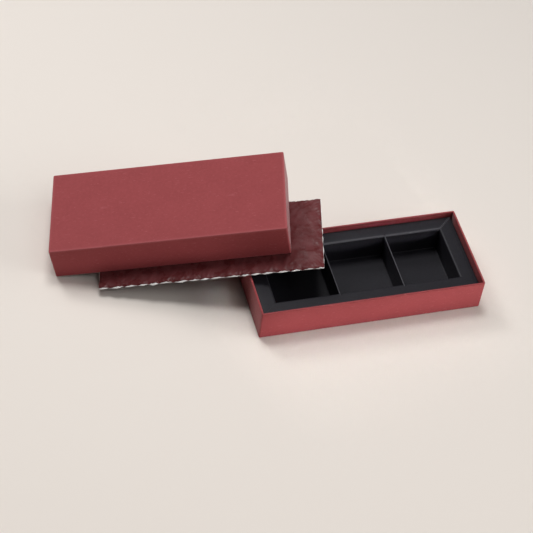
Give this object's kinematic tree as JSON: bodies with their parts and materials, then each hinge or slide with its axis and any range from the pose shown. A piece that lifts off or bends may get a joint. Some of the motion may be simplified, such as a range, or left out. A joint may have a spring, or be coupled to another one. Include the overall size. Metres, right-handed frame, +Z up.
{
  "type": "chocolate box",
  "caption": "Rigid papered chocolate box, taken apart: open tray with a black card insert of divided cells, an embossed cushion pad and a lift-off lid that leans on the tray.",
  "frame": {"origin": "middle of the tray's underside, on the surface that the box stands on", "axes": "+X along the tray's length to the right, +Y to the back, +Z up; the front faces -Y"},
  "size_m": [0.3443, 0.1764, 0.0721],
  "materials": {
    "wrap_paper": "matte",
    "liner_paper": "matte",
    "greyboard": "matte",
    "corner_tape": "matte",
    "black_card": "matte",
    "pad_sheet": "satin",
    "pad_wadding": "matte",
    "pad_backing": "satin"
  },
  "bodies": {
    "base": {"base_board": "greyboard", "base_corner_tape_front_left": "corner_tape", "base_corner_tape_front_right": "corner_tape", "base_corner_tape_back_left": "corner_tape", "base_corner_tape_back_right": "corner_tape", "base_wrap": "wrap_paper", "base_bottom_sheet": "wrap_paper", "base_liner": "liner_paper"},
    "insert": {"insert_tray": "black_card"},
    "divider_left": {"divider_left": "black_card"},
    "divider_right": {"divider_right": "black_card"},
    "pad": {"pad_top_sheet": "pad_sheet", "pad_wadding": "pad_wadding", "pad_bottom_sheet": "pad_backing"},
    "lid": {"lid_board": "greyboard", "lid_corner_tape_front_left": "corner_tape", "lid_corner_tape_front_right": "corner_tape", "lid_corner_tape_back_left": "corner_tape", "lid_corner_tape_back_right": "corner_tape", "lid_wrap": "wrap_paper", "lid_liner": "liner_paper"}
  },
  "joints": [
    {"name": "insert_lift", "type": "slide", "parent": "base", "child": "insert", "axis": [0, 0, 1], "range_m": [0, 0.04]},
    {"name": "divider_left_lift", "type": "slide", "parent": "insert", "child": "divider_left", "axis": [0, 0, 1], "range_m": [0, 0.03]},
    {"name": "divider_right_lift", "type": "slide", "parent": "insert", "child": "divider_right", "axis": [0, 0, 1], "range_m": [0, 0.03]},
    {"name": "pad_lift", "type": "slide", "parent": "insert", "child": "pad", "axis": [0, 0, 1], "range_m": [0, 0.04]},
    {"name": "lid_lift", "type": "slide", "parent": "pad", "child": "lid", "axis": [0, 0, 1], "range_m": [0, 0.07]}
  ]
}
